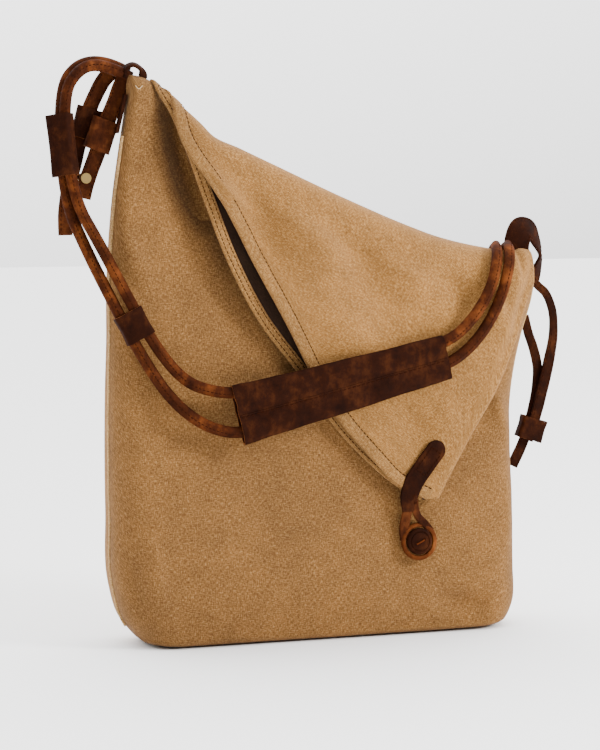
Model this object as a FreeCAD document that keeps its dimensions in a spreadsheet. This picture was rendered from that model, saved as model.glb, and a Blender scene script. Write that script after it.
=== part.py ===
import FreeCAD, Part
import Sketcher

import math
import os

# A fold-over canvas messenger bag. The frame is in millimetres with +Z up. The origin is the middle
# of the flat base on the floor, +X runs to the bag's right and -Y is the front, where the flap hangs.
#
# The bag is a tall sack of two canvas panels. Its top is folded down in front along a slanting ridge,
# so the back panel goes on as the outer layer of the flap and the front panel as its inner layer.

Vec = FreeCAD.Vector
Z_AXIS = Vec(0, 0, 1)
PAD_MARGIN = 60
THROUGH = 600

doc = FreeCAD.newDocument("messenger_bag")
sheet = doc.addObject("Spreadsheet::Sheet", "Sizes")

SIZES = {
    "canvas": 2.0,
    "lining_cloth": 1.0,
    "lining_gap": 0.4,
    "hem_width": 10.0,
    "hem_cloth": 1.0,
    "knee_height": 40.0,
    "knee_half_depth": 40.0,
    "front_slope": 0.08,
    "flap_clearance": 1.0,
    "flap_gap": 7.0,
    "fold_gap": 0.5,
    "inner_fold_drop": 12.0,
    "seam_proud": 2.5,
    "seam_depth": 2.0,
    "pocket_width": 150.0,
    "pocket_height": 120.0,
    "leather": 2.5,
    "tail_width": 11.0,
    "right_strap_width": 9.0,
    "cord_radius": 3.75,
    "cord_clearance": 0.3,
    "grip_depth": 11.0,
    "grip_centre_y": -49.0,
    "keeper_wall": 1.8,
    "keeper_clearance": 0.8,
    "button_radius": 11.0,
    "button_depth": 4.0,
    "button_stand": 4.6,
    "thread_radius": 2.0,
    "backing_radius": 8.0,
    "backing_depth": 1.5,
    "tab_width": 17.0,
    "ring_hole_radius": 13.0,
    "ring_radius": 16.0,
    "rivet_radius": 4.2,
    "rivet_head": 1.2,
    "rivet_shank_radius": 1.6,
    "patch_depth": 7.0,
    "patch_size": 30.0,
}

for row, (alias, value) in enumerate(SIZES.items(), start=1):
    sheet.set(f"A{row}", alias)
    sheet.set(f"B{row}", str(value))
    sheet.setAlias(f"B{row}", alias)
doc.recompute()

nodes = []


def size(alias):
    return float(sheet.get(alias))


# Outline of the standing pouch: height, left edge, right edge. The half depth follows from the height.
POUCH_SECTIONS = [
    (0, -143, 150),
    (14, -158, 174),
    (50, -172, 182),
    (110, -175, 183),
    (215, -175, 184),
    (250, -174, 190),
    (285, -173, 200),
    (330, -172, 201),
    (405, -165, 201),
    (480, -147, 201),
]
BASE_HALF_DEPTH = 36.0
ROUNDING = 0.72

# The ridge where the sack folds over, from the high left corner to the low right one (x, z).
RIDGE = [(-146, 462), (-93, 425), (-50, 398), (36, 357), (126, 329), (192, 319)]

# Edges of the folded-down flap in front view (x, z).
OUTER_HEM = [(-128, 440), (-111, 405), (-59, 315), (7, 218), (52, 160), (102, 113)]
INNER_HEM = [(-133, 438), (-118, 405), (-69, 300), (-18, 227), (17, 183), (48, 153), (94, 118)]
FLAP_RIGHT = [(106, 113), (126, 153), (144, 186), (159, 215), (175, 249), (186, 276), (188, 292)]

BUTTON_AT = (83, 80)
TAB_TOP = (97, 156)
TAB_BEND = (75, 129)

# Routes of the rolled leather cords, from the bag's corners into the grip.
CORD_ROUTES = {
    "cord_left_upper": [
        (-150, 3, 463), (-169, 0, 474), (-192, -6, 473), (-210, -12, 448), (-202.5, -18, 368),
        (-182, -23, 329), (-164, -30, 292), (-142, -35.5, 250), (-120, -41, 221), (-98, -46, 211.5),
        (-72, -49, 209.5), (-46, -49, 214.8),
    ],
    "cord_left_lower": [
        (-150, 11, 468), (-168, 9, 482), (-196, 2, 481), (-217, -6, 452), (-210, -12, 366),
        (-192, -17, 325), (-175, -27, 287), (-153, -33, 243), (-130, -39, 206), (-103, -46, 183),
        (-71, -49, 175.5), (-46, -49, 182.7),
    ],
    "cord_right_upper": [
        (76, -49, 239.3), (104, -49, 245), (128, -47, 264), (147, -42, 290), (155, -35, 314),
        (163, -15, 331), (169, 2, 330),
    ],
    "cord_right_lower": [
        (76, -49, 218.1), (106, -49, 227), (133, -47, 247), (154, -41, 276), (164, -40, 308),
        (174, -18, 331), (180, 2, 329),
    ],
}
GRIP_OUTLINE = [(-77, 216), (-73, 168), (105, 216), (101, 252)]

# Flat leather straps as centre lines in front view (x, z), with the depth range they fill (front, back).
LEFT_TAIL_FRONT = [(-162, 452), (-168, 429), (-184, 388), (-188, 377)]
LEFT_TAIL_REAR = [(-165, 458), (-178, 441), (-187, 411), (-189, 394), (-190, 376), (-202, 340)]
RIGHT_LOOP = [
    (194.5, 314), (191, 332), (195, 342), (204, 341), (214, 331), (216, 315), (210, 298), (208, 290),
]
RIGHT_OUTER = [
    (209, 289), (222, 279), (230, 262), (231, 245), (226, 223), (219, 202), (211, 178), (204, 150),
]
RIGHT_INNER = [(203, 249), (209, 230), (212, 210), (208, 188), (202, 160), (194, 134)]
ANCHOR_LOOP = [(-143, 468), (-145, 477), (-138, 481), (-132, 473)]


def half_depth(height):
    if height < size("knee_height"):
        share = height / size("knee_height")
        return BASE_HALF_DEPTH + (size("knee_half_depth") - BASE_HALF_DEPTH) * math.sin(share * math.pi / 2)
    return size("knee_half_depth") - size("front_slope") * (height - size("knee_height"))


def along(points, x):
    """Height of an outline, given as (x, z) points, at one x."""
    for (x0, z0), (x1, z1) in zip(points, points[1:]):
        if x <= x1:
            break
    return z0 + (z1 - z0) * (x - x0) / (x1 - x0)


def flap_depth():
    return size("flap_clearance") + 2 * size("canvas") + size("flap_gap")


def fold_radius(ridge_height):
    """Outer radius of the fold that joins the back panel to the flap's outer layer below it."""
    slope = size("front_slope")
    return (half_depth(ridge_height) + flap_depth() / 2) / (1 - slope)


def front_placement(offset):
    """Placement whose XZ plane lies this far in front of the pouch's leaning front panel."""
    lean = math.atan(size("front_slope"))
    forward = size("knee_half_depth") + offset / math.cos(lean)
    turn = FreeCAD.Rotation(Vec(1, 0, 0), -math.degrees(lean))
    return FreeCAD.Placement(Vec(0, -forward, size("knee_height")), turn)


def front_points(points):
    """Front-view points (x, z) as seen in the leaning plane of front_placement."""
    lean = math.atan(size("front_slope"))
    return [(x, (z - size("knee_height")) / math.cos(lean)) for x, z in points]


def front_point(x, height, offset):
    return front_placement(offset).multVec(Vec(x, 0, front_points([(x, height)])[0][1]))


def offset_line(points, distance):
    """The open polyline moved sideways, to its left for a positive distance."""
    moved = []
    for i, (x, z) in enumerate(points):
        x0, z0 = points[max(i - 1, 0)]
        x1, z1 = points[min(i + 1, len(points) - 1)]
        length = math.hypot(x1 - x0, z1 - z0)
        moved.append((x - (z1 - z0) / length * distance, z + (x1 - x0) / length * distance))
    return moved


def ribbon(points, width):
    return offset_line(points, width / 2) + offset_line(points, -width / 2)[::-1]


def new_body(name):
    body = doc.addObject("PartDesign::Body", name)
    body.Label = name
    nodes.append(body)
    return body


def origin_plane(body, role):
    return next(feature for feature in body.Origin.OriginFeatures if feature.Role == role)


def new_sketch(body, name, role="XZ_Plane", offset=0.0):
    sketch = body.newObject("Sketcher::SketchObject", name)
    sketch.AttachmentSupport = (origin_plane(body, role), [""])
    sketch.MapMode = "FlatFace"
    sketch.AttachmentOffset = FreeCAD.Placement(Vec(0, 0, offset), FreeCAD.Rotation())
    return sketch


def add_outline(sketch, points):
    corners = [Vec(x, y, 0) for x, y in points]
    for start, end in zip(corners, corners[1:] + corners[:1]):
        sketch.addGeometry(Part.LineSegment(start, end), False)


def add_circle(sketch, centre, alias):
    index = sketch.addGeometry(Part.Circle(Vec(centre[0], centre[1], 0), Z_AXIS, size(alias)), False)
    constraint = sketch.addConstraint(Sketcher.Constraint("Radius", index, size(alias)))
    sketch.setExpression(f"Constraints[{constraint}]", f"Sizes.{alias}")


def pad(body, name, sketch, length):
    """Pad towards -Y from an XZ sketch; the length is an expression of the sheet's aliases."""
    feature = body.newObject("PartDesign::Pad", name)
    feature.Profile = sketch
    feature.setExpression("Length", length)
    sketch.Visibility = False
    return feature


def pocket(body, name, sketch, length, both=False, reverse=False):
    feature = body.newObject("PartDesign::Pocket", name)
    feature.Profile = sketch
    feature.Length = length
    feature.Midplane = both
    feature.Reversed = reverse
    sketch.Visibility = False
    return feature


def plate(name, points, depth, placement=None, role="XZ_Plane"):
    """A flat piece: an outline in front view, as thick as the expression says."""
    body = new_body(name)
    sketch = new_sketch(body, name + "_outline", role)
    add_outline(sketch, points)
    pad(body, name + "_pad", sketch, depth)
    if placement:
        body.Placement = placement
    return body


# The pouch: canvas outside, lining inside, each a front and a back half that meet at the side seams.


def rounded_section(sketch, left, right, depth):
    """A rounded rectangle about y = 0, with its corners as deep as the section's depth allows."""
    radius = ROUNDING * depth
    x0, x1 = left + radius, right - radius
    y0, y1 = -depth + radius, depth - radius
    for start, end in (
        ((x0, -depth), (x1, -depth)), ((right, y0), (right, y1)),
        ((x1, depth), (x0, depth)), ((left, y1), (left, y0)),
    ):
        sketch.addGeometry(Part.LineSegment(Vec(*start, 0), Vec(*end, 0)), False)
    for cx, cy, start in ((x1, y0, -90), (x1, y1, 0), (x0, y1, 90), (x0, y0, 180)):
        circle = Part.Circle(Vec(cx, cy, 0), Z_AXIS, radius)
        arc = Part.ArcOfCircle(circle, math.radians(start), math.radians(start + 90))
        sketch.addGeometry(arc, False)


def pouch_loft(body, kind, inset, raise_top=0.0):
    sketches = []
    last = len(POUCH_SECTIONS) - 1
    for i, (height, left, right) in enumerate(POUCH_SECTIONS):
        level = height + (inset if i == 0 else 0) + (raise_top if i == last else 0)
        depth = half_depth(level) - inset
        sketch = new_sketch(body, f"{body.Name}_{kind}_{i}", "XY_Plane", level)
        rounded_section(sketch, left + inset, right - inset, depth)
        sketch.Visibility = False
        sketches.append(sketch)
    feature = body.newObject(f"PartDesign::{kind}", f"{body.Name}_{kind}")
    feature.Profile = sketches[0]
    feature.Sections = sketches[1:]
    feature.Ruled = True
    return feature


def panel(name, outer_inset, inner_inset, front, top_line):
    """Half of the pouch's shell, cut off above the line given as (x, z) points."""
    body = new_body(name)
    pouch_loft(body, "AdditiveLoft", outer_inset)
    pouch_loft(body, "SubtractiveLoft", inner_inset, raise_top=10)
    top = new_sketch(body, name + "_top")
    left, right = top_line[0], top_line[-1]
    above = THROUGH
    add_outline(top, [(left[0] - PAD_MARGIN, left[1])] + top_line + [
        (right[0] + PAD_MARGIN, right[1]), (right[0] + PAD_MARGIN, above), (left[0] - PAD_MARGIN, above)])
    pocket(body, name + "_top_cut", top, THROUGH, both=True)
    other_half = new_sketch(body, name + "_half", "XY_Plane")
    y0, y1 = (0, 2 * PAD_MARGIN) if front else (-2 * PAD_MARGIN, 0)
    add_outline(other_half, [(-THROUGH / 2, y0), (THROUGH / 2, y0), (THROUGH / 2, y1), (-THROUGH / 2, y1)])
    pocket(body, name + "_half_cut", other_half, THROUGH, reverse=True)
    return body


def button_hole(body, radius_alias):
    """Hole for the button's thread, straight through the front from y = 0."""
    sketch = new_sketch(body, body.Name + "_thread_hole")
    add_circle(sketch, BUTTON_AT, radius_alias)
    pocket(body, body.Name + "_thread_cut", sketch, PAD_MARGIN, both=False, reverse=True)


BACK_TOP = [(x, z - fold_radius(z)) for x, z in RIDGE]
FRONT_TOP = [(x, z - size("inner_fold_drop")) for x, z in RIDGE]
LINING_DROP = 6.0

front_panel = panel("front_panel", 0, size("canvas"), True, FRONT_TOP)
button_hole(front_panel, "thread_radius")
panel("back_panel", 0, size("canvas"), False, BACK_TOP)

lining_out = size("canvas") + size("lining_gap")
lining_in = lining_out + size("lining_cloth")
lining_front = panel(
    "lining_front", lining_out, lining_in, True, [(x, z - LINING_DROP) for x, z in FRONT_TOP])
button_hole(lining_front, "thread_radius")
panel("lining_back", lining_out, lining_in, False, [(x, z - LINING_DROP) for x, z in BACK_TOP])

# The inner pocket lies on the back lining, which leans like the front but the other way.
pocket_plate = plate(
    "inner_pocket",
    [(-size("pocket_width") / 2, 0), (size("pocket_width") / 2, 0),
     (size("pocket_width") / 2, size("pocket_height")), (-size("pocket_width") / 2, size("pocket_height"))],
    "Sizes.lining_cloth")
lean_deg = math.degrees(math.atan(size("front_slope")))
POCKET_BOTTOM = 110.0
pocket_plate.Placement = FreeCAD.Placement(
    Vec(0, half_depth(POCKET_BOTTOM) - lining_in * 1.01, POCKET_BOTTOM),
    FreeCAD.Rotation(Vec(1, 0, 0), lean_deg))

# The side seams stand a little proud of the sides, where both panels' edges are sewn together.
SEAM_FROM, SEAM_LEFT_TOP, SEAM_RIGHT_TOP = 14, 415, 300
for side, name in ((-1, "side_seam_left"), (1, "side_seam_right")):
    top = SEAM_LEFT_TOP if side < 0 else SEAM_RIGHT_TOP
    edge = [(left if side < 0 else right, height) for height, left, right in POUCH_SECTIONS]
    inside = [(x, z) for x, z in edge if SEAM_FROM <= z < top]
    above = next(point for point in edge if point[1] >= top)
    below = inside[-1]
    share = (top - below[1]) / (above[1] - below[1])
    inside.append((below[0] + (above[0] - below[0]) * share, top))
    proud = [(x + side * size("seam_proud"), z) for x, z in inside]
    seam = plate(name, inside + proud[::-1], "Sizes.seam_depth")
    seam.Placement = FreeCAD.Placement(Vec(0, size("seam_depth") / 2, 0), FreeCAD.Rotation())


# The two folds at the ridge, each a bent strip of canvas.


def arch(name, stations, inner_alias):
    """A bent strip lofted through half rings that stand across the ridge: (x, y, z, outer radius)."""
    body = new_body(name)
    sketches = []
    for i, (x, y, z, radius) in enumerate(stations):
        sketch = new_sketch(body, f"{name}_{i}", "YZ_Plane", x)
        inner = radius - size(inner_alias)
        for r in (radius, inner):
            arc = Part.ArcOfCircle(Part.Circle(Vec(y, z, 0), Z_AXIS, r), 0, math.pi)
            sketch.addGeometry(arc, False)
        for side in (-1, 1):
            sketch.addGeometry(
                Part.LineSegment(Vec(y + side * inner, z, 0), Vec(y + side * radius, z, 0)), False)
        sketch.Visibility = False
        sketches.append(sketch)
    loft = body.newObject("PartDesign::AdditiveLoft", name + "_loft")
    loft.Profile = sketches[0]
    loft.Sections = sketches[1:]
    loft.Ruled = True
    return body


arch("fold_outer", [(x, -flap_depth() / 2, z - fold_radius(z), fold_radius(z)) for x, z in RIDGE], "canvas")
crease_radius = size("canvas") + size("flap_clearance") / 2
arch("fold_inner", [
    (x, -half_depth(z - size("inner_fold_drop")) - size("flap_clearance") / 2,
     z - size("inner_fold_drop"), crease_radius) for x, z in RIDGE], "canvas")


# The flap: outer and inner layer, hem facings along the mouth, and the seam that closes its right edge.


def top_between(line, x_left, x_right, drop):
    """The part of a ridge-like line between two x values, lowered by the gap below the fold."""
    inner = [(x, z) for x, z in line if x_left < x < x_right]
    ends = [(x_left, along(line, x_left)), (x_right, along(line, x_right))]
    return [(x, z - drop) for x, z in [ends[0]] + inner + [ends[1]]]


FLAP_TOP_LEFT, FLAP_TOP_RIGHT = -127, 188
gap = size("fold_gap")
outer_top = top_between(BACK_TOP, FLAP_TOP_LEFT, FLAP_TOP_RIGHT, gap)
inner_top = top_between(FRONT_TOP, FLAP_TOP_LEFT - 5, FLAP_TOP_RIGHT, gap)
inner_face = size("flap_clearance")
outer_face = inner_face + size("canvas") + size("flap_gap")


def below(points, line):
    """The points of an edge that lie under the given top line."""
    return [(x, z) for x, z in points if z < along(line, x) - 1]


def flap_layer(name, top_line, hem, offset):
    right = below(FLAP_RIGHT, top_line)
    outline = top_line + right[::-1] + below(hem, top_line)[::-1]
    return plate(name, front_points(outline), "Sizes.canvas", front_placement(offset))


flap_outer = flap_layer("flap_outer", outer_top, OUTER_HEM, outer_face)
flap_inner = flap_layer("flap_inner", inner_top, INNER_HEM, inner_face)


def hem_facing(name, hem, top_line, offset):
    edge = below(hem, top_line)[:-1]
    band = edge + offset_line(edge, size("hem_width"))[::-1]
    return plate(name, front_points(band), "Sizes.hem_cloth", front_placement(offset))


hem_facing("hem_outer", OUTER_HEM, outer_top, outer_face - size("hem_cloth"))
hem_facing("hem_inner", INNER_HEM, inner_top, inner_face + size("canvas"))

seam_edge = below(FLAP_RIGHT, outer_top)[1:]
seam_band = seam_edge + offset_line(seam_edge, size("canvas"))[::-1]
plate("flap_seam", front_points(seam_band), "Sizes.flap_gap", front_placement(inner_face + size("canvas")))

# The closure: a leather tab sewn on the flap, its hanging loop, and the button it slips over.

tab_face = outer_face + size("canvas")
tab_dx, tab_dz = TAB_TOP[0] - TAB_BEND[0], TAB_TOP[1] - TAB_BEND[1]
tab_length = math.hypot(tab_dx, tab_dz)
TAB_ARC_STEPS = 8
end_angle = math.atan2(tab_dz, tab_dx)
rounded_end = [
    (TAB_TOP[0] + size("tab_width") / 2 * math.cos(end_angle + math.pi * (step / TAB_ARC_STEPS - 0.5)),
     TAB_TOP[1] + size("tab_width") / 2 * math.sin(end_angle + math.pi * (step / TAB_ARC_STEPS - 0.5)))
    for step in range(TAB_ARC_STEPS + 1)]
bend_sides = ribbon([TAB_BEND, TAB_TOP], size("tab_width"))
plate("tab_anchor", front_points(rounded_end + [bend_sides[0], bend_sides[3]]), "Sizes.leather",
      front_placement(tab_face))

LOOP_START = (76, 119.5)
LOOP_TURN = (79, 108)
LOOP_LIFT = 4.0
tab_loop = new_body("tab_loop")
loop_arm = new_sketch(tab_loop, "tab_loop_arm")
add_outline(loop_arm, front_points(ribbon([LOOP_START, LOOP_TURN, (82, 90)], size("tab_width"))))
pad(tab_loop, "tab_loop_arm_pad", loop_arm, "Sizes.leather")
loop_ring = new_sketch(tab_loop, "tab_loop_ring")
button_local = front_points([BUTTON_AT])[0]
add_circle(loop_ring, button_local, "ring_radius")
pad(tab_loop, "tab_loop_ring_pad", loop_ring, "Sizes.leather")
ring_hole = new_sketch(tab_loop, "tab_loop_hole")
add_circle(ring_hole, button_local, "ring_hole_radius")
pocket(tab_loop, "tab_loop_hole_cut", ring_hole, PAD_MARGIN, both=True)
# The loop leans back from the flap's face, so that its ring lies against the pouch under the button.
ring_point = front_point(*BUTTON_AT, LOOP_LIFT)
bend_point = front_point(*LOOP_START, tab_face)
tilt = math.degrees(math.atan2(ring_point.y - bend_point.y, bend_point.z - ring_point.z))
local_start = front_points([LOOP_START])[0]
turn = FreeCAD.Rotation(Vec(1, 0, 0), tilt)
start_turned = turn.multVec(Vec(0, 0, local_start[1]))
tab_loop.Placement = FreeCAD.Placement(Vec(0, bend_point.y, bend_point.z) - start_turned, turn)

button_place = front_placement(size("button_stand"))


def disc(name, placement, radius_alias, depth, holes=()):
    body = new_body(name)
    rim = new_sketch(body, name + "_rim")
    add_circle(rim, button_local, radius_alias)
    pad(body, name + "_pad", rim, depth)
    for i, (dx, dz) in enumerate(holes):
        hole = new_sketch(body, f"{name}_hole_{i}")
        hole_at = (button_local[0] + dx, button_local[1] + dz)
        hole.addGeometry(Part.Circle(Vec(*hole_at, 0), Z_AXIS, BUTTON_HOLE), False)
        pocket(body, f"{name}_hole_cut_{i}", hole, PAD_MARGIN, both=True)
    body.Placement = placement
    return body


BUTTON_HOLE = 1.1
HOLE_SPREAD = 3.4
disc("button_disc", button_place, "button_radius", "Sizes.button_depth",
     [(-HOLE_SPREAD, -HOLE_SPREAD * 0.5), (HOLE_SPREAD, HOLE_SPREAD * 0.5)])
lining_back_face = front_placement(-lining_in - size("backing_depth") - 0.05)
disc("button_backing", lining_back_face, "backing_radius", "Sizes.backing_depth")

thread = doc.addObject("Part::Cylinder", "button_thread")
thread.Label = "button_thread"
thread.setExpression("Radius", "Sizes.thread_radius - 0.4")
thread.setExpression("Height", "Sizes.button_stand + Sizes.canvas + Sizes.lining_gap + Sizes.lining_cloth")
thread_end = front_point(*BUTTON_AT, -lining_in)
lean = math.atan(size("front_slope"))
thread.Placement = FreeCAD.Placement(
    thread_end, FreeCAD.Rotation(Z_AXIS, Vec(0, -math.cos(lean), math.sin(lean))))
nodes.append(thread)


# The rolled cords, straight runs joined by tangent arcs.


def cord_wire(name, points):
    """One wire through the route, each corner rounded as widely as its two runs allow."""
    route = [Vec(*point) for point in points]
    edges = []
    radii = []
    start = route[0]
    for before, corner, after in zip(route, route[1:], route[2:]):
        back = (before - corner).normalize()
        ahead = (after - corner).normalize()
        half_turn = (math.pi - back.getAngle(ahead)) / 2
        reach = 0.45 * min((before - corner).Length, (after - corner).Length)
        radius = reach / math.tan(half_turn)
        radii.append(radius)
        bisector = (back + ahead).normalize()
        middle = corner + bisector * (radius / math.cos(half_turn) - radius)
        arc_start, arc_end = corner + back * reach, corner + ahead * reach
        edges.append(Part.LineSegment(start, arc_start).toShape())
        edges.append(Part.Arc(arc_start, middle, arc_end).toShape())
        start = arc_end
    edges.append(Part.LineSegment(start, route[-1]).toShape())
    wire = Part.Wire(edges)
    print(f"{name}: length {wire.Length:.1f}, radii " + " ".join(f"{r:.0f}" for r in radii))
    return wire


def tube(wire, radius):
    start, direction = wire.Edges[0].Vertexes[0].Point, wire.Edges[0].tangentAt(0)
    profile = Part.Wire([Part.makeCircle(radius, start, direction)])
    swept = wire.makePipeShell([profile], True, False)
    volume = math.pi * radius ** 2 * wire.Length
    if abs(swept.Volume - volume) > 0.02 * volume:
        raise RuntimeError(f"tube volume {swept.Volume:.0f}, expected {volume:.0f}")
    return swept


def add_feature(name, shape):
    feature = doc.addObject("Part::Feature", name)
    feature.Label = name
    feature.Shape = shape
    nodes.append(feature)
    return feature


cord_wires = {name: cord_wire(name, points) for name, points in CORD_ROUTES.items()}
for name, wire in cord_wires.items():
    add_feature(name, tube(wire, size("cord_radius")))

# The grip: a flattened leather sleeve with one channel for each pair of cord ends.
channels = [tube(wire, size("cord_radius") + size("cord_clearance")) for wire in cord_wires.values()]
grip_corners = [Vec(x, size("grip_centre_y") + size("grip_depth") / 2, z) for x, z in GRIP_OUTLINE]
grip_face = Part.Face(Part.makePolygon(grip_corners + grip_corners[:1]))
grip_block = grip_face.extrude(Vec(0, -size("grip_depth"), 0))
long_edges = [
    edge for edge in grip_block.Edges
    if abs(edge.Vertexes[0].Point.x - edge.Vertexes[1].Point.x) > PAD_MARGIN]
grip_block = grip_block.makeFillet(0.4 * size("grip_depth"), long_edges)
add_feature("grip", grip_block.cut(channels))


# Keepers: short leather sleeves that slide on the cords and straps.


def frame_along(axis, wide):
    """Rotation that turns Z to the sleeve's axis and X as near as can be to its wide direction."""
    return FreeCAD.Rotation(Vec(*wide), Vec(), Vec(*axis), "ZXY")


def sleeve(name, centre, axis, wide, inner_width, inner_depth, length):
    """A hollow rounded box of leather about its centre."""
    wall = size("keeper_wall")
    body = new_body(name)
    for kind, grow in (("Pad", wall), ("Pocket", 0.0)):
        sketch = new_sketch(body, f"{name}_{kind}_outline", "XY_Plane", -length / 2)
        width, depth = inner_width / 2 + grow, inner_depth / 2 + grow
        add_outline(sketch, [(-width, -depth), (width, -depth), (width, depth), (-width, depth)])
        feature = body.newObject(f"PartDesign::{kind}", f"{name}_{kind}")
        feature.Profile = sketch
        feature.Length = length if kind == "Pad" else 2 * length
        if kind == "Pocket":
            feature.Midplane = True
        sketch.Visibility = False
    body.Placement = FreeCAD.Placement(Vec(*centre), frame_along(axis, wide))
    return body


def on_run(name, index, height):
    """Point of a cord's run, from one route point to the next, at a height; and the run's direction."""
    start, end = Vec(*CORD_ROUTES[name][index]), Vec(*CORD_ROUTES[name][index + 1])
    share = (start.z - height) / (start.z - end.z)
    return start + (end - start) * share, (end - start).normalize()


def cord_keeper(name, index, height, length):
    upper, upper_way = on_run("cord_left_upper", index, height)
    _, lower_way = on_run("cord_left_lower", index, height)
    axis = (upper_way + lower_way).normalize()
    start = Vec(*CORD_ROUTES["cord_left_lower"][index])
    lower = start + lower_way * ((upper - start).dot(axis) / lower_way.dot(axis))
    centre = (upper + lower) / 2
    slack = 2 * (size("cord_radius") + size("keeper_clearance"))
    print(f"{name}: centre {tuple(round(c, 1) for c in centre)} axis {tuple(round(c, 4) for c in axis)}")
    return sleeve(name, centre, axis, upper - lower, (upper - lower).Length + slack, slack, length)


LONG_KEEPER_LENGTH, SQUARE_KEEPER_LENGTH = 49, 24
cord_keeper("keeper_long", 3, 409, LONG_KEEPER_LENGTH)
cord_keeper("keeper_square", 6, 268, SQUARE_KEEPER_LENGTH)


# Flat leather straps, each a band that follows its centre line at a constant depth.


def strap(name, points, width, front, back):
    body = plate(name, ribbon(points, width), f"{back - front}")
    body.Placement = FreeCAD.Placement(Vec(0, back, 0), FreeCAD.Rotation())
    return body


leather = size("leather")
tail_width = size("tail_width")
right_width = size("right_strap_width")
TAIL_FRONT_Y, TAIL_REAR_Y = 3.6, 11.5
TAIL_RIVET = (-187.2, 382)
for name, line, front in (
    ("left_tail_front", LEFT_TAIL_FRONT, TAIL_FRONT_Y),
    ("left_tail_rear", LEFT_TAIL_REAR, TAIL_REAR_Y),
):
    tail = strap(name, line, tail_width, front, front + leather)
    rivet_hole = new_sketch(tail, name + "_rivet_hole")
    add_circle(rivet_hole, TAIL_RIVET, "rivet_shank_radius")
    pocket(tail, name + "_rivet_cut", rivet_hole, PAD_MARGIN, both=True)
LOOP_FRONT_Y, LOOP_BACK_Y = 6.0, 16.0
strap("right_loop", RIGHT_LOOP, leather, LOOP_FRONT_Y, LOOP_BACK_Y)
OUTER_Y, INNER_Y = 8.0, 11.5
strap("right_strap_outer", RIGHT_OUTER, right_width, OUTER_Y, OUTER_Y + leather)
strap("right_strap_inner", RIGHT_INNER, right_width, INNER_Y, INNER_Y + leather)
ANCHOR_FRONT_Y, ANCHOR_BACK_Y = -2.0, 6.0
strap("left_anchor_loop", ANCHOR_LOOP, leather, ANCHOR_FRONT_Y, ANCHOR_BACK_Y)


STRAP_KEEPER_PLAY_WIDE, STRAP_KEEPER_PLAY_DEEP = 1.2, 1.0


def strap_keeper(name, start, end, share, y, width, depth, length):
    """A sleeve on a flat strap, at this share of the run from one point of its centre line to the next."""
    centre = (start[0] + (end[0] - start[0]) * share, y, start[1] + (end[1] - start[1]) * share)
    axis = Vec(end[0] - start[0], 0, end[1] - start[1]).normalize()
    across = Vec(axis.z, 0, -axis.x)
    print(f"{name}: centre {tuple(round(c, 1) for c in centre)} axis {tuple(round(c, 4) for c in axis)}")
    return sleeve(name, centre, axis, across, width + STRAP_KEEPER_PLAY_WIDE,
                  depth + STRAP_KEEPER_PLAY_DEEP, length)


strap_keeper("keeper_front_tail", (-168, 429), (-184, 388), 0.38,
             TAIL_FRONT_Y + leather / 2, tail_width, leather, length=24)
strap_keeper("keeper_rear_tail", (-178, 441), (-187, 411), 0.5,
             TAIL_REAR_Y + leather / 2, tail_width, leather, length=20)
# The right keeper holds both right straps, one behind the other and a little apart.
PAIR_WIDTH, PAIR_DEPTH, PAIR_MIDDLE_Y = 18.0, 6.5, 11.0
strap_keeper("keeper_right", (211, 178), (202, 150), 0.5, PAIR_MIDDLE_Y, PAIR_WIDTH, PAIR_DEPTH, length=19)

# Leather patches that hold the straps at both corners, and the brass rivet of the left tails.

PATCH_LOW, PATCH_HIGH = 418.0, 449.0
patch_edge = [(left - 0.1, height) for height, left, _ in POUCH_SECTIONS]
patch_side = [
    (x0 + (x1 - x0) * (z - z0) / (z1 - z0), z)
    for (x0, z0), (x1, z1) in [patch_edge[-2:]] for z in (PATCH_LOW, PATCH_HIGH)]
patch = plate("left_anchor_patch", patch_side + [(x - leather, z) for x, z in patch_side[::-1]],
              "Sizes.patch_depth")
patch.Placement = FreeCAD.Placement(Vec(0, 1, 0), FreeCAD.Rotation())

back_patch = doc.addObject("Part::Box", "right_anchor_patch")
back_patch.Label = "right_anchor_patch"
back_patch.setExpression("Length", "Sizes.patch_size")
back_patch.setExpression("Width", "Sizes.leather")
back_patch.setExpression("Height", "Sizes.patch_size")
BACK_PATCH_X, BACK_PATCH_Z = 152.0, 255.0
back_patch.Placement = FreeCAD.Placement(
    Vec(BACK_PATCH_X, half_depth(BACK_PATCH_Z) + 0.02, BACK_PATCH_Z),
    FreeCAD.Rotation(Vec(1, 0, 0), lean_deg))
nodes.append(back_patch)


def rivet(centre, grip_length):
    """A rivet along Y: a shank through the leather, with a domed head at each end."""
    x, y, z = centre
    towards_back = Vec(0, 1, 0)
    head = size("rivet_head")
    front_head = Part.makeCylinder(size("rivet_radius"), head, Vec(x, y - head, z), towards_back)
    shank_radius = size("rivet_shank_radius") - 0.02
    shank = Part.makeCylinder(shank_radius, grip_length, Vec(x, y, z), towards_back)
    rear_head = Part.makeCylinder(size("rivet_radius"), head, Vec(x, y + grip_length, z), towards_back)
    return front_head.fuse([shank, rear_head]).removeSplitter()


rivet_at = (TAIL_RIVET[0], TAIL_FRONT_Y, TAIL_RIVET[1])
add_feature("tail_rivet", rivet(rivet_at, TAIL_REAR_Y + leather - TAIL_FRONT_Y))


def export():
    doc.recompute()
    failed = [o.Name for o in doc.Objects if "Invalid" in o.State or "Error" in o.State]
    if failed:
        raise RuntimeError(f"failed objects: {failed}")
    os.makedirs("parts", exist_ok=True)
    for node in nodes:
        shape = node.Shape
        if shape.isNull() or not shape.isValid() or not shape.Solids:
            raise RuntimeError(f"bad shape: {node.Label}")
    for node in nodes:
        node.Shape.exportStep(f"parts/{node.Label}.step")
        print(f"{node.Label}: {len(node.Shape.Solids)} solid(s), {node.Shape.Volume:.0f} mm3")


export()
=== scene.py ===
import math

import bmesh
import bpy
import numpy as np
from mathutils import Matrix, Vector, noise


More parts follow.
